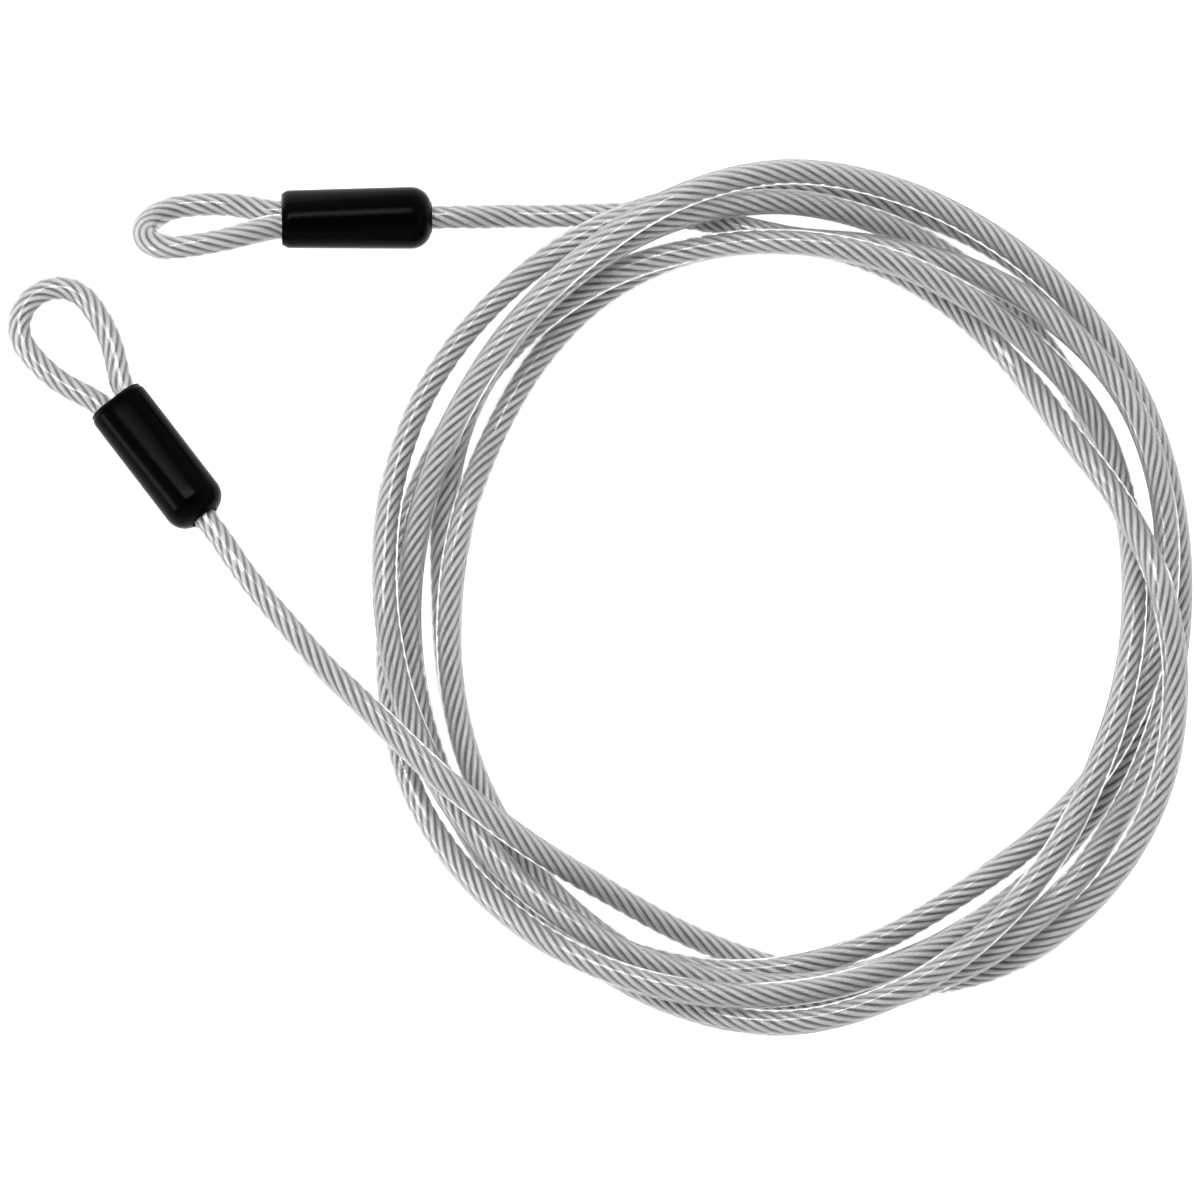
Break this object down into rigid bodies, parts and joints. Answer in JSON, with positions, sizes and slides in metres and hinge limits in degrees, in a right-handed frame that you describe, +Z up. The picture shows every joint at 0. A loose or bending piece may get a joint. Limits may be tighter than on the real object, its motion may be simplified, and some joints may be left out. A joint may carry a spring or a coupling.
{
  "type": "double-loop security cable",
  "caption": "Coiled wire rope in a clear jacket, with a swaged teardrop eye under a black moulded cover at each end, for locking a bicycle or tool with a padlock.",
  "frame": {"origin": "on the floor, under the middle of the box round the whole object as it lies", "axes": "+Z up through the coil; +X from the eyes towards the coil; +Y to the side that end A leaves from"},
  "size_m": [0.4564, 0.3356, 0.0463],
  "materials": {
    "wire": "galvanised stranded wire",
    "jacket": "clear vinyl, glossy",
    "ferrule": "swaged, plain",
    "cover": "black moulded vinyl, glossy"
  },
  "bodies": {
    "root": {"wire_coil": "wire", "jacket_coil": "jacket", "wire_lead_a": "wire", "jacket_lead_a": "jacket", "wire_lead_b": "wire", "jacket_lead_b": "jacket", "wire_eye_a": "wire", "jacket_eye_a": "jacket", "wire_eye_b": "wire", "jacket_eye_b": "jacket", "ferrule_a": "ferrule", "ferrule_b": "ferrule", "cover_a": "cover", "cover_b": "cover"}
  },
  "joints": []
}
